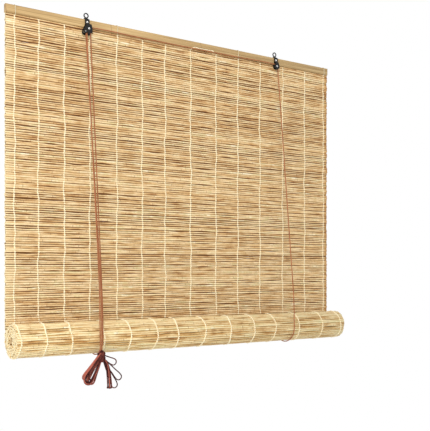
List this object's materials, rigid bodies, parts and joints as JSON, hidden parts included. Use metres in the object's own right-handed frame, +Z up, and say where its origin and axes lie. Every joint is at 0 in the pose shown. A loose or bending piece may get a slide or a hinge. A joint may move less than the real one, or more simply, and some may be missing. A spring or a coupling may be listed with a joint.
{
  "type": "reed roll-up blind",
  "caption": "Reed mat on a bamboo head batten, wound into a roll that lift cords raise over pulleys to a cord lock, hung by steel eyes.",
  "frame": {"origin": "midway between the centres of the two hanging eyes", "axes": "+X along the head batten to the right as seen from the room, +Y to the wall, +Z up"},
  "size_m": [1.2, 0.1271, 1.096],
  "materials": {
    "batten": "planed bamboo strip, satin",
    "reed": "peeled natural reed, satin",
    "thread": "cream cotton thread",
    "black_steel": "black stove enamel",
    "wheel_plastic": "black moulded",
    "bright_steel": "bright zinc",
    "cord": "red-brown braided cord"
  },
  "bodies": {
    "headrail": {"head_batten": "batten", "reed_mat": "reed", "mat_threads": "thread", "batten_ties": "thread", "left_hanger": "black_steel", "lock_front_plate": "black_steel", "lock_axle": "bright_steel", "jam_pin": "black_steel", "left_screw": "bright_steel", "right_hanger": "black_steel", "right_front_plate": "black_steel", "right_axle": "bright_steel", "right_screw": "bright_steel", "left_staple": "bright_steel", "right_staple": "bright_steel", "left_anchor_knot": "cord", "right_anchor_knot": "cord", "left_back_cord": "cord", "right_back_cord": "cord", "left_front_cord": "cord", "right_front_cord": "cord", "left_wheel_cord": "cord", "cross_cord": "cord", "front_pull_cord": "cord", "rear_pull_cord": "cord"},
    "slings": {"left_sling": "cord", "right_sling": "cord"},
    "roll": {"reed_roll": "reed", "roll_threads": "thread", "bottom_dowel": "batten"},
    "rear_wheel": {"lock_rear_wheel": "wheel_plastic"},
    "front_wheel": {"lock_front_wheel": "wheel_plastic"},
    "pulley_wheel": {"right_wheel": "wheel_plastic"},
    "brake": {"brake_roller": "bright_steel"},
    "pull_bundle": {"pull_knot": "cord", "bow_loops": "cord", "tail_loops": "cord"}
  },
  "joints": [
    {"name": "roll_lift", "type": "slide", "parent": "headrail", "child": "slings", "axis": [0, 0, 1], "range_m": [0, 0.72], "deforming": ["reed_mat", "mat_threads", "left_back_cord", "right_back_cord", "left_front_cord", "right_front_cord", "left_sling", "right_sling"]},
    {"name": "roll_turn", "type": "hinge", "parent": "slings", "child": "roll", "pos_m": [0, -0.0476, -0.94], "axis": [1, 0, 0], "range_deg": [-720, 0]},
    {"name": "pull_run", "type": "slide", "parent": "headrail", "child": "pull_bundle", "axis": [0, 0, -1], "range_m": [0, 1.44], "deforming": ["front_pull_cord", "rear_pull_cord"]},
    {"name": "rear_wheel_spin", "type": "hinge", "parent": "headrail", "child": "rear_wheel", "pos_m": [-0.356, -0.0114, -0.043], "axis": [0, -1, 0], "continuous": true},
    {"name": "front_wheel_spin", "type": "hinge", "parent": "headrail", "child": "front_wheel", "pos_m": [-0.356, -0.0173, -0.043], "axis": [0, -1, 0], "continuous": true},
    {"name": "right_wheel_spin", "type": "hinge", "parent": "headrail", "child": "pulley_wheel", "pos_m": [0.356, -0.0114, -0.043], "axis": [0, -1, 0], "continuous": true},
    {"name": "brake_release", "type": "slide", "parent": "headrail", "child": "brake", "axis": [-0.5, 0, 0.866], "range_m": [0, 0.0035]}
  ],
  "couplings": [
    {"joint": "roll_turn", "follows": "roll_lift", "rad_per_m": -17.453},
    {"joint": "pull_run", "follows": "roll_lift", "ratio": 2},
    {"joint": "rear_wheel_spin", "follows": "roll_lift", "rad_per_m": 333.33},
    {"joint": "front_wheel_spin", "follows": "roll_lift", "rad_per_m": 333.33},
    {"joint": "right_wheel_spin", "follows": "roll_lift", "rad_per_m": 333.33}
  ]
}
